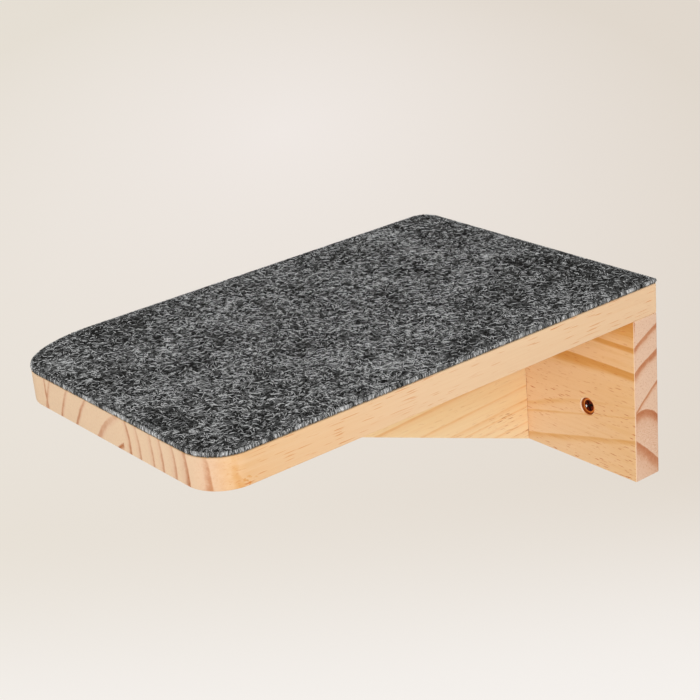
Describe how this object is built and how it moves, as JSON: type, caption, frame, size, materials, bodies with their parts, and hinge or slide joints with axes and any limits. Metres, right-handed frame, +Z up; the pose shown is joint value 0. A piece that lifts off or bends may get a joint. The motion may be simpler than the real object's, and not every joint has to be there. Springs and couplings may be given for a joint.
{
  "type": "cat wall shelf",
  "caption": "Wall-mounted cat shelf: a carpet-topped pine board on a back plate, propped from below by a tapered brace and screwed to the wall.",
  "frame": {"origin": "on the wall plane at the back of the plate, midway between the two wall screws", "axes": "+Z up, +Y into the wall along the wall screws, +X right when facing the wall"},
  "size_m": [0.2, 0.3415, 0.123],
  "materials": {
    "pine_board": "planed and sanded, unfinished",
    "pine_plate": "planed and sanded, unfinished",
    "pine_brace": "planed and sanded, unfinished",
    "needle_felt": "matt needle-felt, charcoal melange",
    "adhesive_film": "matt film",
    "yellow_zinc": "yellow passivated zinc plating",
    "beech": "turned, unfinished"
  },
  "bodies": {
    "root": {"shelf_board": "pine_board", "carpet": "needle_felt", "carpet_adhesive": "adhesive_film", "back_plate": "pine_plate", "brace": "pine_brace", "wall_screw_left": "yellow_zinc", "wall_screw_right": "yellow_zinc", "plate_screw_left": "yellow_zinc", "plate_screw_middle": "yellow_zinc", "plate_screw_right": "yellow_zinc", "brace_top_screw_front": "yellow_zinc", "brace_top_screw_rear": "yellow_zinc", "brace_back_screw_upper": "yellow_zinc", "brace_back_screw_lower": "yellow_zinc", "dowel_left": "beech", "dowel_right": "beech"}
  },
  "joints": []
}
